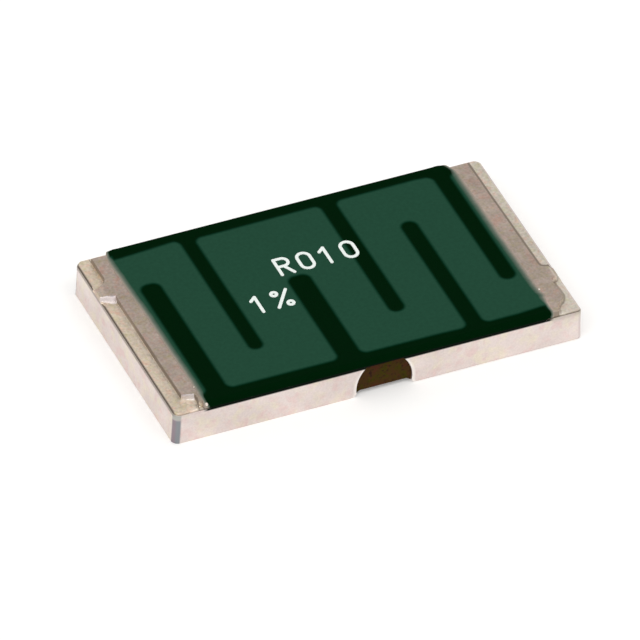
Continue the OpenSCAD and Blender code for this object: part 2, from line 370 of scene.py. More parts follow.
def gapHalfWidth(z, p):
    # Each wall of the gap is an arc through its widest place and its narrower top, and below the foot's
    # height a quarter round takes it outwards
    widest = (fillerHigh[0] - fillerLow[0]) / 2
    narrowing = widest - (nodeBox("right_base_plate")[0][0] - gapMiddle)
    rise = plateTop - p["gapWidestHeight"]
    radius = (rise ** 2 + narrowing ** 2) / (2 * narrowing)
    climb = np.maximum(z, p["gapFoot"]) - p["gapWidestHeight"]
    return widest - radius + np.sqrt(radius ** 2 - climb ** 2) + quarterDrop(z, p["gapFoot"])


def plateLevels(side, p):
    # Heights from the underside up, each with how far its outline stands back from the plate's sides:
    # a quarter round below, straight sides, a small quarter round above, then the flat top inwards.
    # The last list marks where painted shade lines the margin of the top.
    turn = np.radians(np.linspace(0, 90, 7))
    low, high = p["lowerEdge"][side], p["upperEdge"]
    z = [np.zeros(2), low * (1 - np.cos(turn)), np.linspace(low, plateTop - 0.08, 28)[1:],
         plateTop - np.array(p["rimLevels"]), plateTop - high * (1 - np.sin(turn[::2])),
         np.full(4, plateTop)]
    inset = [low + np.array([0.12, 0.03]), low * (1 - np.sin(turn)), np.zeros(34),
             high * (1 - np.cos(turn[::2])), p["shadeInset"] + np.array([0, 0.04, 0.045, 0.1])]
    z = np.concatenate(z)
    edgeShade = np.zeros_like(z)
    edgeShade[-4:-2] = 1
    return z, np.concatenate(inset), edgeShade


def withFlank(arc, flank, start):
    # Values along a corner's arc, joined in the loop's order with those of its two points on the long flank.
    # The arc of a front corner starts at 180 or 270 degrees, and that of a back one at 0 or 90.
    flank = flank[..., ::-1] if start in (0, 90) else flank
    return np.concatenate([arc, flank] if start in (0, 180) else [flank, arc], axis=-1)


def plateSurface(side, p):
    # Each level's outline is a rectangle between the gap's wall and the outer end, with four quarter
    # rounds: two large ones at the outer corners and two small ones at the gap
    z, inset, edgeShade = (level[:, None] for level in plateLevels(side, p))
    onTop, below = z == plateTop, z == 0
    inwards = np.where(onTop, inset - p["upperEdge"], 0) + np.where(below, inset - p["lowerEdge"][side], 0)
    wall = side * gapMiddle + gapHalfWidth(z, p) + np.maximum(inwards, 0)
    outer = halfLength - inset + p["flare"][side] * (1 - z / plateTop) ** 2
    reach = halfWidth - inset
    small = np.full_like(z, p["gapEdge"])
    frontRound, backRound = p["frontRadius"][side] - inset, p["backRadius"][side] - inset
    corners = [(wall, -reach, small, 180, 0), (outer, -reach, frontRound, 270, p["frontCornerShade"][side]),
               (outer, reach, backRound, 0, p["backCornerShade"][side]), (wall, reach, small, 90, 0)]
    share = np.linspace(0, 1, p["cornerSteps"] + 1)  # along a corner's arc
    depth = plateTop - z
    flank = np.where(onTop | below, 0, 1)
    runOver = smoothStep(*p["bleed"], depth) * flank
    rimLine = smoothStep(*p["rimDepth"], depth) * flank
    dusk = smoothStep(p["duskDepth"], 0, depth) * flank * p["dusk"][side]
    # Tones: painted shade at the sheared corners in place of a dark reflection, with paler shoulders, a
    # painted highlight on the flanks beside the gap, the turn from side to end, painted shade on the
    # top's margin and along the upper edge, and the green that has run over
    loops, tones = [], {tone: [] for tone in ("corner", "shoulder", "gapHighlight", "turn", "edgeShade", "bleed")}
    for edgeX, edgeY, radius, start, cornerShade in corners:
        atGap, atBack = start in (90, 180), start in (0, 90)
        near = -1 if start in (0, 180) else 0  # the arc's last or first point is beside the long flank
        radius = np.maximum(radius, 0.01)
        angle = np.radians(start + 90 * share)
        x = edgeX + radius * (np.cos(angle) + (1 if atGap else -1))
        y = edgeY + radius * (np.sin(angle) - (1 if atBack else -1))
        # Two more points on the long flank: beside the gap's edge, or where the lacquer ends
        more = x[:, [near]] * atGap + p["highlightStrip" if atGap else "lacquerEnds"]
        x, y = withFlank(x, more, start), withFlank(y, np.tile(y[:, [near]], 2), start)
        loops.append(np.stack([x, y, np.broadcast_to(z, x.shape)], axis=-1))
        along = withFlank(share, np.zeros(2), start)
        covered = withFlank(share * 0 + atGap, np.array([1, atGap]), start)
        # a painted highlight on the flanks beside the gap
        gapHighlight = withFlank(smoothStep(0, 0.3, share if near else 1 - share), np.array([0.8, 0]), start) * atGap
        band = cornerShade * softSpan(0.14, 0.86, 0.14, along) * withFlank(share * 0 + 1, np.zeros(2), start)
        outwards = smoothStep(0.5, 1, along) if start == 270 else along * 0 + atBack  # 0 on the front side
        rimShare = np.interp(outwards, (0, 1), (p["frontRimShade"][side], p["outerRimShade"][side]))
        edgeShadeShare = np.interp(outwards, (0, 1), (p["frontEdgeShade"][side], p["outerEdgeShade"][side]))
        tones["corner"].append(band * smoothStep(*p["cornerShadeTop"], z) * flank)
        tones["shoulder"].append(band * smoothStep(*p["shoulder"], z) * flank * 0.9)
        tones["gapHighlight"].append(gapHighlight * flank * 0.8)
        tones["turn"].append(smoothStep(0.35, 0.65, along) * np.ones_like(x))
        # painted shade on the top's margin and along the upper edge
        tones["edgeShade"].append(edgeShade * edgeShadeShare + np.maximum(rimLine * rimShare, dusk) * (1 - covered))
        tones["bleed"].append(runOver * covered)
    points = np.concatenate(loops, axis=1)
    values = {tone: np.concatenate(parts, axis=1) for tone, parts in tones.items()}
    if side < 0:  # mirrored, and turned round so that the faces still point outwards
        points = points[:, ::-1] * [-1, 1, 1]
        values = {tone: value[:, ::-1] for tone, value in values.items()}
        values["turn"] = 1 - values["turn"]
    points, faces = ringSurface(points)
    return points, faces, {tone: value.ravel() for tone, value in values.items()}


tinMaterial = newMaterial("mattTinOnCopper", tinFinish, plateTin)
addPiece("leftPlate", plateSurface(-1, plate), tinMaterial, "left_base_plate")
addPiece("rightPlate", plateSurface(1, plate), tinMaterial, "right_base_plate")


# Filler between the plates: dark brown resin, dished at both ends and hollow below
filler = dict(
    undersideHeight=0.09,
    creepRadius=0.045,  # it has crept down both walls, in a quarter round
    creepWall=0.012,  # and is this thick at its foot
    dish=0.02,  # how far the middle of each end stands back from its rim
    overlap=0.004,  # how far it runs into both plates
    ringCount=10,
)
fillerResin = dict(brown="#432F16", olive="#3D370C", red="#4A2A1B", dark="#321F18", mottle=0.12, grain=0.05,
                   roughness=0.7, gloss=0.02)


def fillerFinish(tree, place, look):
    # Cured filled epoxy: its fillers sit unevenly, so the brown drifts to olive and to red, and it is dull
    cloud = addNode(tree, "TexNoise", {"Vector": place, "Scale": grainScale(look["mottle"]), "Detail": 4.0})
    second = addNode(tree, "TexNoise", {"Vector": place, "Scale": grainScale(look["mottle"] * 0.8), "W": 3.7},
                     noise_dimensions="4D")
    grain = addNode(tree, "TexNoise", {"Vector": place, "Scale": grainScale(look["grain"]), "Detail": 3.0})
    layers = [(cloud, 0.47, 0.62, "olive"), (second, 0.5, 0.66, "red"), (grain, 0.53, 0.73, "dark")]
    colour = layTints(tree, hexLinear(look["brown"]), look, layers, "SMOOTHSTEP")
    bump = addNode(tree, "Bump", {"Height": grain, "Strength": 0.4, "Distance": 0.01 * mm})
    return {"Base Color": colour, "Roughness": look["roughness"], "Specular IOR Level": look["gloss"],
            "Normal": bump}


def fillerSurface(p):
    # The section follows both walls of the gap, a flat top and a hollow underside with a quarter round at
    # each wall. It is drawn out along the width, and at each end it closes in over a shallow dish.
    lowest = p["undersideHeight"] - p["creepRadius"]
    z = np.linspace(lowest, plateTop, 24)
    wall = gapHalfWidth(z, plate) + p["overlap"]
    hollow = gapHalfWidth(np.array([p["undersideHeight"]]), plate)[0] - p["creepWall"]
    turn = np.radians(np.linspace(0, 90, 8))
    roundX = hollow - p["creepRadius"] * (1 - np.cos(turn))
    roundZ = lowest + p["creepRadius"] * np.sin(turn)
    under = np.linspace(roundX[-1], 0, 10)[1:]
    halfX = np.concatenate([np.linspace(0, wall[-1], 10)[:-1], wall[::-1], roundX, under])
    halfZ = np.concatenate([np.full(9, plateTop), z[::-1], roundZ, np.full(9, p["undersideHeight"])])
    sectionX = np.concatenate([halfX, -halfX[-2:0:-1]])
    sectionZ = np.concatenate([halfZ, halfZ[-2:0:-1]])
    centreZ = (plateTop + p["undersideHeight"]) / 2
    share = np.linspace(0.02, 1, p["ringCount"])  # size of each ring of the dished end
    dish = p["dish"] * (1 - share ** 4)
    scale = np.concatenate([share, share[::-1]])
    y = np.concatenate([fillerLow[1] + dish, (fillerHigh[1] - dish)[::-1]])
    x = gapMiddle + scale[:, None] * sectionX
    height = centreZ + scale[:, None] * (sectionZ - centreZ)
    points, faces = ringSurface(np.stack([x, np.broadcast_to(y[:, None], x.shape), height], axis=-1))
    return points, faces, {}


resinMaterial = newMaterial("curedBrownEpoxy", fillerFinish, fillerResin)
addPiece("gapFiller", fillerSurface(filler), resinMaterial, "gap_filler")


# Lacquer: matt green solder resist over the foil. It is dark where no foil lies below, and it thins out
# over the plated contacts. Tables and radii are for the left and the right end.
lacquer = dict(
    step=0.022,
    finest=0.005,
    reach=0.08,  # the lines are fine this near to the rims
    # y and the half length at which the green is half faded
    ends={-1: [(-2.05, 3.01), (-1.9, 3.01), (-1.75, 2.99), (-1.6, 2.985), (-1.05, 2.992), (-0.55, 3.0),
               (0.2, 3.0), (0.5, 3.01), (1.0, 3.03), (1.35, 3.03), (1.5, 3.04), (1.85, 3.046), (1.93, 3.024),
               (2.05, 3.0)],
          1: [(-2.05, 3.03), (-1.9, 3.025), (-1.75, 3.018), (-1.63, 3.02), (-1.58, 3.04), (-1.5, 3.015),
              (-1.3, 3.0), (-0.7, 2.995), (-0.1, 2.988), (0.05, 2.983), (1.4, 2.983), (1.83, 2.985),
              (1.93, 2.95), (2.05, 2.93)]},
    # y and the length over which it fades
    fade={-1: ((-1.88, -1.79, 1.76, 1.83, 1.92), (0.055, 0.10, 0.10, 0.07, 0.05)),
          1: ((-1.78, -1.70, -1.6, 1.7, 1.82, 1.9), (0.055, 0.10, 0.13, 0.13, 0.08, 0.055))},
    cornerRadius={(-1, -1): 0.04, (-1, 1): 0.10, (1, -1): 0.02, (1, 1): 0.15},  # end and side
    sideRadius=0.07,  # rounding of the long upper edges
    # The foil's long edges lie a little askew: from these y on, and by x, its tones move outwards
    backFrom=(1.5, 1.68),
    backLead=((-2.9, -2.7, -2.3, -1.9, -1.6, -1.3, 0.5, 1.3, 2.3, 2.5, 2.9),
              (0.08, 0.067, 0.04, 0.012, 0.07, 0.07, 0.05, 0.034, 0.022, 0.04, 0.09)),
    frontFrom=(-1.55, -1.7),
    frontLead=((-1.5, 1.1, 1.5, 2.5, 2.9), (0, 0.02, 0.035, 0.035, 0.005)),
    thinning=0.12,  # the coat thins over this length towards each end
    endHeight=0.693,
    sink=0.006,  # how far the lacquer sinks over the slits
    waver=0.003,  # the printed ends aren't quite straight
)
lacquerGreen = dict(overFoil="#224736", edge="#07301F", overSlit="#001A06", half="#626E62", end="#A3968A",
                    blur=0.042, grain=0.06, roughness=0.45, gloss=0.006)


def lacquerEdge(end, y, p):
    # Half length of the lacquer at each y: the table's place and half the fade, with a quarter round
    # towards each long side and a slow waver
    placeY, placeX = np.array(p["ends"][end]).T
    radius = np.where(y < 0, p["cornerRadius"][end, -1], p["cornerRadius"][end, 1])
    corner = quarterDrop(halfWidth - np.abs(y), radius)
    waver = p["waver"] * softNoise(y, y * 0, 0.12, 5 + end)
    return np.interp(y, placeY, placeX) + np.interp(y, *p["fade"][end]) / 2 - corner + waver


def lacquerHeight(x, y, p):
    # Flat, rounded down along the long sides, and thinner towards both ends. Gives the height and the
    # distance from the end.
    sideDrop = quarterDrop(halfWidth - np.abs(y), p["sideRadius"])
    fromEnd = np.where(x < 0, lacquerEdge(-1, y, p) + x, lacquerEdge(1, y, p) - x)
    thin = smoothStep(p["thinning"], 0, fromEnd)
    return lacquerTop - (lacquerTop - p["endHeight"]) * thin - sideDrop, fromEnd


def lacquerFinish(tree, place, look):
    # Matt epoxy lacquer, screen printed: nearly no gloss. Foil below it shows as a lighter green with a
    # soft edge, slits and margins stay almost black, and the thin ends let the tin through.
    foil = addNode(tree, "Attribute", output="Fac", attribute_name="foilDistance")
    end = addNode(tree, "Attribute", output="Fac", attribute_name="endShare")
    grain = addNode(tree, "TexNoise", {"Vector": place, "Scale": grainScale(look["grain"]), "Detail": 3.0})
    blur = look["blur"]
    layers = [(foil, -blur, blur * 0.3, "edge"), (foil, -blur * 0.5, blur, "overFoil")]
    colour = layTints(tree, hexLinear(look["overSlit"]), look, layers, "SMOOTHSTEP")
    colour = layTints(tree, colour, look, [(end, 1.0, 0.5, "half"), (end, 0.5, 0.0, "end")])
    colour = shadeByGrain(tree, colour, (grain, 0.94, 1.06))
    bump = addNode(tree, "Bump", {"Height": grain, "Strength": 0.15, "Distance": 0.003 * mm})
    return {"Base Color": colour, "Roughness": look["roughness"], "Specular IOR Level": look["gloss"],
            "Normal": bump}


def lacquerSurface(p):
    # Heights over a grid whose rows are stretched between the two ends. The coat sinks where the outline
    # of the foil shows a slit below, and its tones go by the distance from that outline.
    length = max(place[1] for place in p["ends"][-1] + p["ends"][1])
    column, row = (denseLines(-half, half, p["step"], [-half, half], p["finest"], p["reach"])
                   for half in (length, halfWidth))
    y = row[:, None]
    left, right = -lacquerEdge(-1, y, p), lacquerEdge(1, y, p)
    x = left + (right - left) * (column / length / 2 + 0.5)
    y = np.broadcast_to(y, x.shape)
    z, fromEnd = lacquerHeight(x, y, p)
    lead = smoothStep(*p["backFrom"], y) * np.interp(x, *p["backLead"])
    lead = lead + smoothStep(*p["frontFrom"], y) * np.interp(x, *p["frontLead"])
    foilDistance = outlineDistance(topOutline("resistor_foil", foilTop), x, y + lead)
    overSlit = smoothStep(0.01, -0.07, foilDistance) * smoothStep(0.1, 0.2, fromEnd)
    endShare = fromEnd / np.where(x < 0, np.interp(y, *p["fade"][-1]), np.interp(y, *p["fade"][1]))
    values = {"foilDistance": foilDistance, "endShare": endShare}
    return reliefSurface(x, y, z - p["sink"] * overSlit, filmTop, values)


greenMaterial = newMaterial("mattGreenLacquer", lacquerFinish, lacquerGreen)
addPiece("lacquerCoat", lacquerSurface(lacquer), greenMaterial, "lacquer")


# Plated contacts: grainy tin over the ledge, up the step and over the foil's pad. A row of the wall's
# table is y and the half length of the step there, from the front to the back.
contact = dict(
    step=0.013,
    finest=0.004,
    reach=0.022,  # the lines are fine this near to the rims and to the shape's fine places
    innerX=2.95,  # hidden below the lacquer
    squeezeX=3.40,  # beyond it the columns close in to the outline
    tieInset=0.004,
    wallRun=0.012,  # the step climbs over this length
    edgeRadius=0.014,
    backRadius=0.04,  # rounding of the pad's back edge
    frontSlope=(0.05, 0.022),  # the front edge falls off over this length, by this much
    tieFall=(3.42, 3.53),  # the tie drops between these half lengths
    tieFade=(3.36, 3.46),  # and takes on the ledge's tone between these
    lipHeight=0.006,
    lipFade=(0.1, 0.05),  # distances from the front edge: it rises between them
    rimFade={"front": (0.03, 0), "outer": (0.014, 0.002)},  # distances over which the painted shade along the rims fades in
    unevenness=0.0022,
    underLacquer=0.002,
    # share of the painted sheen on the slopes that face the front
    sheenTone=0.65,
)
leftShape = dict(
    wall=[(-2.05, 3.115), (-1.97, 3.112), (-1.86, 3.087), (-1.80, 3.092), (-1.735, 3.105), (-1.70, 3.30),
          (0.95, 3.308), (1.03, 3.56), (1.235, 3.56), (1.26, 3.45), (1.31, 3.375), (1.36, 3.33), (1.42, 3.31),
          (2.05, 3.307)],
    frontInset=0.02,
    backInset=0.003,
    outerInset=0.028,
    tie=(0.97, 1.31),
    tieDrop=0.02,
    tieTone=0.3,
    padBack=1.922,
    padFront=-1.955,
    # Slopes that climb to the back: the half lengths of their ends, the y of their foot and of their top
    # at both, and the y and the half length at which they stop
    slopes=[((3.105, 3.295), (-1.805, -1.707), (-1.737, -1.699), -1.6, 3.3),
            ((3.365, 3.535), (0.849, 0.982), (0.966, 1.035), 1.1, 4)],
    lip=(3.17, 3.47),  # a raised rim of plating along the front side
    lipHighlight=(0.35, (3.15, 3.19), (3.3, 3.25)),  # share, and where the lip carries a painted highlight: from and to
    frontPale=0,
    footHighlight=0.4,  # a painted highlight on the ledge beside the step, in front of the middle
    # half length and strength of the painted shade along the front side
    frontRimShade=((2.95, 3.12, 3.18, 3.25, 3.3, 3.5), (0.9, 0.6, 0.1, 0.1, 0.4, 0.35)),
    # painted shade along the outer side, in the crevice by the plate's edge
    outerRimShade=0.9,
    lineStart=-0.003,  # the line of painted shade at the step, where its shadow falls: where it starts and ends across the wall
    lineEnd=0.006,
    lineRise=1.0,  # and up to which share of the wall's height
    lineShift=(0, 0),
    lineWidth=0.004,
    lineShare=((-0.1, 0.2), (1.0, 0.8)),  # y and the line's strength
    # small beads of plating: half length, y, height and radius
    beads=[(2.996, -2.013, 0.653, 0.036), (3.093, -1.985, 0.615, 0.018), (3.032, -1.594, 0.688, 0.015)],
    # dark spots in the same tone: half length, y, radius and strength
    darkSpots=[(3.03, -2.03, 0.045, 1.0), (3.125, -2.02, 0.025, 0.8), (3.128, -1.92, 0.03, 0.6)],
    fineX=[3.10, 3.305],  # half lengths and y beside which the grid is fine
    fineY=[-1.955, -1.72, 0.97, 1.27, 1.95],
)
rightShape = dict(
    wall=[(-2.06, 3.145), (-2.0, 3.155), (-1.90, 3.191), (-1.816, 3.256), (-1.76, 3.33), (-1.725, 3.362),
          (-1.68, 3.370), (-1.576, 3.366), (-1.40, 3.358), (-1.33, 3.362), (-1.285, 3.372), (-1.255, 3.385),
          (-1.238, 3.415), (-1.222, 3.466), (-1.13, 3.515), (-1.075, 3.56), (-0.935, 3.56), (-0.93, 3.42),
          (-0.915, 3.37), (-0.885, 3.335), (-0.84, 3.318), (-0.65, 3.315), (0.25, 3.307), (1.15, 3.297),
          (2.05, 3.293)],
    frontInset=0.022,
    backInset=0.03,
    outerInset=0.03,
    tie=(-1.25, -0.92),
    tieDrop=0.088,
    tieTone=0.35,  # the tie's end takes on this share of the ledge's tone
    padBack=1.902,
    padFront=-3,
    slopes=[],
    lip=(3.18, 3.45),
    lipHighlight=(0.4, (3.17, 3.21), (3.3, 3.25)),
    frontPale=0.15,  # the ledge in front of the tie is paler
    footHighlight=0,
    # half length and strength of the painted shade along the front side, then along the outer side
    frontRimShade=((2.95, 3.15, 3.2, 3.26, 3.32, 3.5), (1.0, 0.9, 0.4, 0.4, 0.6, 0.6)),
    outerRimShade=0,
    # the line of painted shade lies where the step's shadow falls, shifted beyond the step
    lineStart=-0.2,
    lineEnd=0.002,
    lineRise=0.02,
    lineShift=(0.045, 0.097),
    lineWidth=0.026,
    lineShare=((-1.95, -1.7, -1.25, -1.2, -1.1, -0.95), (0.4, 0.7, 0.7, 0.35, 0.3, 0.95)),
    beads=[(3.068, -1.422, 0.684, 0.022)],
    darkSpots=[(3.09, -1.60, 0.022, 0.7), (3.4, -1.97, 0.02, 0.35)],
    fineX=[3.31, 3.36],
    fineY=[-1.79, -1.2, -1.09, -0.925, 1.93],
)
# The last three tones are painted light: painted highlights, a painted sheen on the slopes that face the
# front, and painted shade
leftTin = dict(pad="#BCADA3", ledge="#E9DBC9", warm="#FFEBE4", cool="#FAFBE6", line="#8F847A",
               bright="#F6EFE4", sheen="#CFC7CC", grain=0.045, drift=0.3, blotch=0.15, speckle=0.055,
               roughness=0.5)
rightTin = dict(leftTin, pad="#BDAEA4", ledge="#DBD3C7", line="#94877A")


def contactFinish(tree, place, look):
    # Heavy matt tin from a plating bath: fine crystals give it a grey, speckled face with faint warm and
    # cool clouds, and the low ledge is paler. Painted highlights, a painted sheen on the front slopes and
    # painted shade at the step and along the rims go on top.
    grain, cloud, drift = (
        addNode(tree, "TexNoise", {"Vector": place, "Scale": grainScale(look[size]), "Detail": detail})
        for size, detail in (("grain", 3.0), ("blotch", 3.0), ("drift", 2.0)))
    speckle = addNode(tree, "TexNoise", {"Vector": place, "W": 2.9, "Scale": grainScale(look["speckle"])},
                      noise_dimensions="4D")
    raised = addNode(tree, "Attribute", output="Fac", attribute_name="raised")
    colour = addNode(tree, "Mix", {0: raised, 6: hexLinear(look["ledge"]), 7: hexLinear(look["pad"])}, 2,
                     data_type="RGBA")
    layers = [(cloud, 0.5, 0.7, "warm"), (cloud, 0.5, 0.3, "cool"),
              (speckle, 0.54, 0.76, "warm"), (speckle, 0.46, 0.28, "cool")]
    colour = layTints(tree, colour, look, layers, most=0.9, blend="MULTIPLY")
    colour = shadeByGrain(tree, colour, (grain, 0.87, 1.12), (drift, 0.92, 1.08))
    for tone in ("bright", "sheen", "line"):
        share = addNode(tree, "Attribute", output="Fac", attribute_name=tone)
        colour = addNode(tree, "Mix", {0: share, 6: colour, 7: hexLinear(look[tone])}, 2, data_type="RGBA")
    bump = addNode(tree, "Bump", {"Height": grain, "Strength": 0.3, "Distance": 0.005 * mm})
    return {"Base Color": colour, "Metallic": 1.0, "Roughness": look["roughness"], "Normal": bump}


def contactGrid(end, s, p):
    # Rows at even y. Beyond the squeeze's start each row's columns close in to the plate's outline,
    # which the plating follows at its inset, and at the tie it runs right to the plate's end.
    low, high = s["frontInset"] - halfWidth, halfWidth - s["backInset"]
    y = denseLines(low, high, p["step"], [low, high] + s["fineY"], p["finest"], p["reach"])[:, None]
    far = halfLength - p["tieInset"]
    column = denseLines(p["innerX"], far, p["step"], [far] + s["fineX"], p["finest"], p["reach"])[None]
    atTie = softSpan(*s["tie"], 0.03, y)
    inset = s["outerInset"] + (p["tieInset"] - s["outerInset"]) * atTie
    radius = np.where(y < 0, plate["frontRadius"][end], plate["backRadius"][end]) - 0.02
    outer = halfLength - inset - quarterDrop(np.minimum(y - low, high - y), radius)
    share = np.maximum(column - p["squeezeX"], 0) / (far - p["squeezeX"])
    u = np.minimum(column, p["squeezeX"]) + share * (outer - p["squeezeX"])
    return u, np.broadcast_to(y, u.shape), outer


def contactClimb(u, y, wall, s, p):
    # Share of the step's height: from 0 to 1 over the wall's run, by the distance to the wall's table,
    # joined with the slopes. The front of the pad ends it too.
    away = sidesDistance(wall, u, y) * np.where(np.interp(y, *np.array(s["wall"]).T) > u, 1, -1)
    climb = np.clip(away / p["wallRun"] + 0.5, 0, 1)
    slope = np.zeros_like(climb)
    for ends, foot, top, last, stop in s["slopes"]:
        low, high = np.interp(u, ends, foot), np.interp(u, ends, top)
        rise = np.clip((y - low) / (high - low), 0, 1) * (y < last)
        slope = np.maximum(slope, rise * np.clip((stop - u) / p["wallRun"] + 0.5, 0, 1))
    onSlope = smoothStep(0, 0.12, slope) * (slope > climb)
    climb = np.maximum(climb, slope) * np.clip((y - s["padFront"]) / p["wallRun"] + 0.5, 0, 1)
    return climb, away, onSlope


def beadSurface(end, u, y, z, radius):  # a small ball, as rings from its lowest to its highest
    lift = np.radians(np.linspace(-85, 85, 11))[:, None]
    turn = np.radians(np.linspace(0, 360, 18, endpoint=False))[None]
    across = radius * np.cos(lift)
    points = np.stack([end * u + across * np.cos(turn), y + across * np.sin(turn),
                       z + radius * np.sin(lift) + turn * 0], axis=-1)
    points, faces = ringSurface(points)
    plain = np.zeros(len(points))
    # the balls carry a painted highlight and a painted sheen
    return points, faces, {"raised": plain, "bright": plain + 0.3, "sheen": plain + 0.3, "line": plain}


def contactSurface(end, s, p):
    # Heights over the grid: the film's top and the climb's share of the step, less quarter rounds at the
    # rims, with a raised lip along the front and a slow unevenness. The same distances place the tones.
    u, y, outer = contactGrid(end, s, p)
    wall = np.array(s["wall"])[:, ::-1]
    wall = np.stack([wall[:-1], wall[1:]], axis=1)
    climb, away, onSlope = contactClimb(u, y, wall, s, p)
    fromFront, fromBack, fromOuter = y - y[0, 0], y[-1, 0] - y, outer - u
    onTie = softSpan(s["tie"][0] - 0.06, s["tie"][1] + 0.06, 0.04, y)
    padEnd = s["padBack"] + p["backRadius"]
    rise = (contactTop - filmTop) * smoothStep(0, 1, climb) - quarterDrop(padEnd - y, p["backRadius"])
    rise = rise * (y < padEnd) - s["tieDrop"] * smoothStep(*p["tieFall"], u) * onTie * climb
    lip = softSpan(*s["lip"], 0.07, u) * smoothStep(*p["lipFade"], fromFront)
    z = filmTop + np.maximum(rise, 0) + p["lipHeight"] * lip
    z = z + p["unevenness"] * (softNoise(u, y, 0.05, 11) + softNoise(u, y, 0.12, 12))
    length, depth = p["frontSlope"]
    z = z - depth / length * quarterDrop(np.minimum(fromFront, fromOuter + 0.03), length)
    z = z - quarterDrop(np.minimum(fromBack, fromOuter), p["edgeRadius"])
    coat, underCoat = lacquerHeight(end * u, y, lacquer)
    z = np.where(underCoat > -0.005, np.minimum(z, coat - p["underLacquer"]), z)

    # Painted shade: a line along the step where its shadow falls, the rims of the front and the outer side,
    # and dark spots in the same tone
    dull = np.full(u.shape, 1e9)
    for share in np.linspace(0, 1, 4):
        dull = np.minimum(dull, sidesDistance(wall + np.array(s["lineShift"]) * share, u, y))
    line = smoothStep(s["lineWidth"] + 0.01, s["lineWidth"], dull) * np.interp(y, *s["lineShare"])
    line = line * softSpan(s["lineStart"], s["lineEnd"], 0.004, away) * (1 - onSlope)
    line = line * smoothStep(s["lineRise"] + 0.1, s["lineRise"], climb) * smoothStep(0, 0.02, fromOuter)
    frontRimShade = np.interp(u, *s["frontRimShade"]) * smoothStep(*p["rimFade"]["front"], fromFront)
    outerRimShade = s["outerRimShade"] * smoothStep(*p["rimFade"]["outer"], fromOuter) * smoothStep(0.7, 0.4, onTie)
    line = np.max([line, frontRimShade, outerRimShade * smoothStep(-1.99, -1.9, y)], axis=0)
    for markX, markY, radius, strength in s["darkSpots"]:
        mark = np.exp(-((u - markX) ** 2 + (y - markY) ** 2) / (radius / 1.5) ** 2)
        line = np.maximum(line, strength * mark)

    # Bright tones: painted highlights on the lip and on the ledge beside the step, and the paler ledge in
    # front of the tie
    tieEnd = onTie * smoothStep(*p["tieFade"], u)
    raised = smoothStep(0.3, 0.9, climb) * (y < padEnd) * (1 - s["tieTone"] * tieEnd)
    lipShare, start, stop = s["lipHighlight"]
    bright = [lip * lipShare * smoothStep(*start, u) * smoothStep(*stop, u),
              s["frontPale"] * smoothStep(-1.0, -1.15, y) * (1 - raised),
              s["footHighlight"] * smoothStep(-0.1, -0.02, away) * (1 - climb) * smoothStep(0.85, 0.7, y)]
    # the painted sheen lies on the slopes that face the front
    values = {"raised": raised, "bright": np.max(bright, axis=0), "sheen": onSlope * p["sheenTone"],
              "line": np.clip(line, 0, 1)}
    x = end * u
    if end < 0:  # turned round so that the faces still point outwards
        x, y, z = x[:, ::-1], y[:, ::-1], z[:, ::-1]
        values = {tone: value[:, ::-1] for tone, value in values.items()}
    plating = reliefSurface(x, y, z, plateTop, values)
    return joinSurfaces([plating] + [beadSurface(end, *bead) for bead in s["beads"]])


leftMaterial = newMaterial("platedTinLeft", contactFinish, leftTin)
rightMaterial = newMaterial("platedTinRight", contactFinish, rightTin)
addPiece("leftContact", contactSurface(-1, leftShape, contact), leftMaterial,
         "left_contact")
addPiece("rightContact", contactSurface(1, rightShape, contact), rightMaterial,
         "right_contact")


# Value print: a resistance value and a tolerance in white ink, as slightly domed strokes
valuePrint = dict(
    height=0.44,
    width=0.27,
    gap=0.11,
    stroke=0.055,
    valueX=0.05,  # middle of each line
    valueY=0.6,
    toleranceX=-1.08,
    toleranceY=-0.13,
    sinkIn=0.008,  # the strokes' sides run this far into the lacquer
    pointStep=0.01,  # distance of the points along a stroke
)
printingInk = dict(white="#EFF5F0", thin="#BFD6CB", grain=0.03, roughness=0.6, gloss=0.3)


def arcPoints(centreX, centreY, radius, start, end):  # a circle's arc as a run of points, angles in degrees
    count = max(4, round(abs(math.radians(end - start)) * radius / valuePrint["pointStep"]) + 1)
    angle = np.radians(np.linspace(start, end, count))
    return np.stack([centreX + radius * np.cos(angle), centreY + radius * np.sin(angle)], axis=-1)


def ringPath(x, y, width, height):  # a closed ring with round ends, its outer size given
    half = valuePrint["stroke"] / 2
    r = width / 2 - half
    top, low, middle = y + height - half - r, y + half + r, x + width / 2
    return np.vstack([arcPoints(middle, top, r, 0, 180), arcPoints(middle, low, r, 180, 360)])


def straightPath(*places):  # straight runs through the places, as closely spaced points
    places = np.array(places, float)
    runs = []
    for a, b in zip(places[:-1], places[1:]):
        count = max(2, round(np.hypot(*(b - a)) / valuePrint["pointStep"]) + 1)
        runs.append(a + (b - a) * np.linspace(0, 1, count)[:, None])
    return np.vstack([runs[0]] + [run[1:] for run in runs[1:]])


def characterPaths(name, p):
    # Centre lines of one character's strokes, from its lower left corner, each with closed or open ends
    half, w, h = p["stroke"] / 2, p["width"], p["height"]
    if name == "0":
        return [(ringPath(0, 0, w, h), True)]
    if name == "1":
        return [(straightPath((w / 2, half), (w / 2, h - half)), False),
                (straightPath((w / 2, h - half), (w * 0.15, h * 0.75)), False)]
    if name == "R":
        waist = h * 0.45 + half
        r = (h - half - waist) / 2
        bowl = np.vstack([straightPath((half, h - half), (w - half - r, h - half)),
                          arcPoints(w - half - r, waist + r, r, 90, -90)[1:],
                          straightPath((w - half - r, waist), (half, waist))[1:]])
        return [(straightPath((half, half), (half, h - half)), False), (bowl, False),
                (straightPath((w * 0.5, waist), (w - half, half)), False)]
    ring = w * 0.55  # the percent sign, a little wider than the rest
    return [(straightPath((w * 0.1, half), (w * 1.1, h - half)), False),
            (ringPath(0, h - ring, ring, ring), True), (ringPath(w * 1.2 - ring, 0, ring, ring), True)]


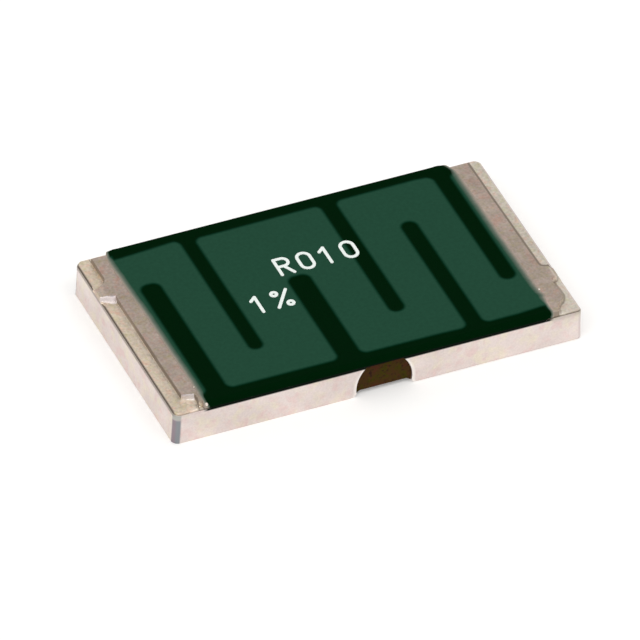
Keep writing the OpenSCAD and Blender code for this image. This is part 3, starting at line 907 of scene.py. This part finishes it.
def strokeSurface(path, closed, p):
    # A low dome carried along the path. Its width closes in as a half circle at open ends.
    half = p["stroke"] / 2
    middle, width = path, np.full(len(path), half)
    tangent = np.roll(path, -1, axis=0) - np.roll(path, 1, axis=0)
    if not closed:
        along = np.concatenate([[0], np.cumsum(np.hypot(*np.diff(path, axis=0).T))])
        cap = half * (1 - np.cos(np.radians(np.linspace(0, 90, 7)[:-1]))) + 1e-4
        place = np.concatenate([cap - half, along, along[-1] + half - cap[::-1]])
        middle = np.stack([np.interp(place, along, path[:, 0]), np.interp(place, along, path[:, 1])], axis=-1)
        beyond = place - np.clip(place, 0, along[-1])  # below zero before the start
        firstRun, lastRun = path[1] - path[0], path[-1] - path[-2]
        run = np.where(beyond[:, None] < 0, firstRun / np.hypot(*firstRun), lastRun / np.hypot(*lastRun))
        middle = middle + beyond[:, None] * run
        width = np.sqrt(np.maximum(half ** 2 - beyond ** 2, 1e-8))
        tangent = np.gradient(middle, axis=0)
    tangent = tangent / np.hypot(tangent[:, 0], tangent[:, 1])[:, None]
    normal = np.stack([-tangent[:, 1], tangent[:, 0]], axis=-1)
    across = np.array([1, 1, 0.93, 0.6, 0, -0.6, -0.93, -1, -1])
    lift = np.array([0, 0.55, 0.85, 0.97, 1, 0.97, 0.85, 0.55, 0])
    xy = middle[:, None] + normal[:, None] * (across[None, :, None] * width[:, None, None])
    rise = (inkTop - lacquerTop) * lift * np.minimum(width / half * 1.5, 1)[:, None]
    z = lacquerTop - p["sinkIn"] * (lift == 0) + rise
    rows, columns = z.shape
    points = np.concatenate([xy, z[..., None]], axis=-1).reshape(-1, 3)
    first = np.arange(rows + closed) % rows * columns  # each row's first point, on the stroke's left side
    last = first + columns - 1
    base = np.stack([last[:-1], first[:-1], first[1:], last[1:]], axis=-1)
    faces = (np.array(gridFaces(rows + closed, columns)) % len(points)).tolist() + base.tolist()
    if not closed:
        faces += [np.arange(columns).tolist(), np.arange(last[-1], first[-1] - 1, -1).tolist()]
    return points, faces, {}


def printSurface(p):
    # The strokes of all characters, which stand side by side, with each line centred on its place
    advance = p["width"] + p["gap"]
    lines = [("R010", p["valueX"] - (4 * advance - p["gap"]) / 2, p["valueY"]),
             ("1%", p["toleranceX"] - (2 * advance - p["gap"]) / 2, p["toleranceY"])]
    strokes = []
    for text, left, middle in lines:
        for place, name in enumerate(text):
            corner = np.array([left + place * advance, middle - p["height"] / 2])
            strokes += [strokeSurface(path + corner, closed, p) for path, closed in characterPaths(name, p)]
    return joinSurfaces(strokes)


def inkFinish(tree, place, look):
    # White pad-printing ink: opaque, matt, and a little green from the lacquer where it is thin
    grain = addNode(tree, "TexNoise", {"Vector": place, "Scale": grainScale(look["grain"])})
    colour = layTints(tree, hexLinear(look["white"]), look, [(grain, 0.45, 0.75, "thin")], most=0.35)
    return {"Base Color": colour, "Roughness": look["roughness"], "Specular IOR Level": look["gloss"]}


inkMaterial = newMaterial("whitePrintingInk", inkFinish, printingInk)
addPiece("valuePrint", printSurface(valuePrint), inkMaterial, "value_print")


# The two layers below keep their CAD shapes: only their edges could ever be seen
adhesiveFilm = dict(dark="#040B06", pale="#0B100A", grain=0.1, roughness=0.5, gloss=0.03)
alloyFoil = dict(dark="#8E6A50", pale="#B08C6C", lineWidth=0.02, roughness=0.35)


def filmFinish(tree, place, look):
    # Cured adhesive film: thin, dark and slightly glossy at its cut edge
    cloud = addNode(tree, "TexNoise", {"Vector": place, "Scale": grainScale(look["grain"])})
    colour = layTints(tree, hexLinear(look["dark"]), look, [(cloud, 0, 1, "pale")])
    return {"Base Color": colour, "Roughness": look["roughness"], "Specular IOR Level": look["gloss"]}


def foilFinish(tree, place, look):
    # Rolled copper manganese foil: warm brown metal with fine rolling lines along its length
    stretched = addNode(tree, "Mapping", {"Vector": place, "Scale": (0.05, 1, 1)})
    lines = addNode(tree, "TexNoise", {"Vector": stretched, "Scale": grainScale(look["lineWidth"])})
    colour = layTints(tree, hexLinear(look["dark"]), look, [(lines, 0, 1, "pale")])
    return {"Base Color": colour, "Metallic": 1.0, "Roughness": look["roughness"]}


filmMaterial = newMaterial("curedAdhesiveFilm", filmFinish, adhesiveFilm)
foilMaterial = newMaterial("rolledAlloyFoil", foilFinish, alloyFoil)
for node, material, slot in (("bond_film", filmMaterial, "adhesive"),
                             ("resistor_foil", foilMaterial, "resistance_alloy")):
    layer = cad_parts[node]
    layer.data.materials.clear()
    layer.data.materials.append(material)
print("film and foil finished")


# Studio: a pale floor, a plain sky and soft boxes
studio = dict(
    floorSize=0.6,  # metres
    floorColour="#F2F1EF",
    floorGlow=0.18,  # its own light, which only the camera and reflections see
    skyLow=0.95,  # strength near the horizon
    skyHigh=0.73,
    # direction, distance and size in metres, power in watts
    lamps=dict(keyBox=((-0.5, -0.45, 0.9), 0.3, 0.2, 0.22), frontBox=((0.32, -0.42, 0.85), 0.3, 0.12, 0.1)),
)


def addFloor(s):
    half = s["floorSize"] / 2
    mesh = bpy.data.meshes.new("paleFloor")
    corners = [(-half, -half, 0), (half, -half, 0), (half, half, 0), (-half, half, 0)]
    mesh.from_pydata(corners, [], [(0, 1, 2, 3)])
    material, tree = emptyMaterial("paleCard")
    card = addNode(tree, "BsdfDiffuse", {"Color": hexLinear(s["floorColour"])})
    rays = addNode(tree, "LightPath").node.outputs
    seen = addNode(tree, "Math", {0: rays["Is Camera Ray"], 1: rays["Is Glossy Ray"]}, operation="MAXIMUM")
    seen = addNode(tree, "Math", {0: seen, 1: rays["Is Transmission Ray"]}, operation="MAXIMUM")
    strength = addNode(tree, "Math", {0: seen, 1: s["floorGlow"]}, operation="MULTIPLY")
    glow = addNode(tree, "Emission", {"Strength": strength})
    both = addNode(tree, "AddShader", {0: card, 1: glow})
    addNode(tree, "OutputMaterial", {"Surface": both})
    mesh.materials.append(material)
    floor = addObject("paleFloor", mesh)


def addLamp(name, direction, distance, size, power):  # a square soft box that faces the object
    data = bpy.data.lights.new(name, "AREA")
    data.size = size
    data.energy = power
    away = np.array(direction, float)
    away = away / np.linalg.norm(away)
    side = np.cross([0, 1, 0.01], away)
    side = side / np.linalg.norm(side)
    placeObject(addObject(name, data), side, np.cross(away, side), away, away * distance)


def addSky(s):
    # Pale near the horizon and a little dimmer higher up, so that flat faces seen from above stay calm
    world = bpy.data.worlds.new("plainSky")
    bpy.context.scene.world = world
    world.use_nodes = True
    tree = world.node_tree
    tree.nodes.clear()
    direction = addNode(tree, "TexCoord", output="Generated")
    height = addNode(tree, "SeparateXYZ", {0: direction}, "Z")
    strength = addNode(tree, "MapRange", {"Value": height, "From Min": 0.15, "From Max": 0.6,
                                          "To Min": s["skyLow"], "To Max": s["skyHigh"]},
                       interpolation_type="SMOOTHSTEP")
    background = addNode(tree, "Background", {"Color": (1, 1, 1, 1), "Strength": strength})
    addNode(tree, "OutputWorld", {"Surface": background})


addFloor(studio)
for name, lamp in studio["lamps"].items():
    addLamp(name, *lamp)
addSky(studio)
bpy.context.scene.view_settings.view_transform = "Standard"
print("studio lit")
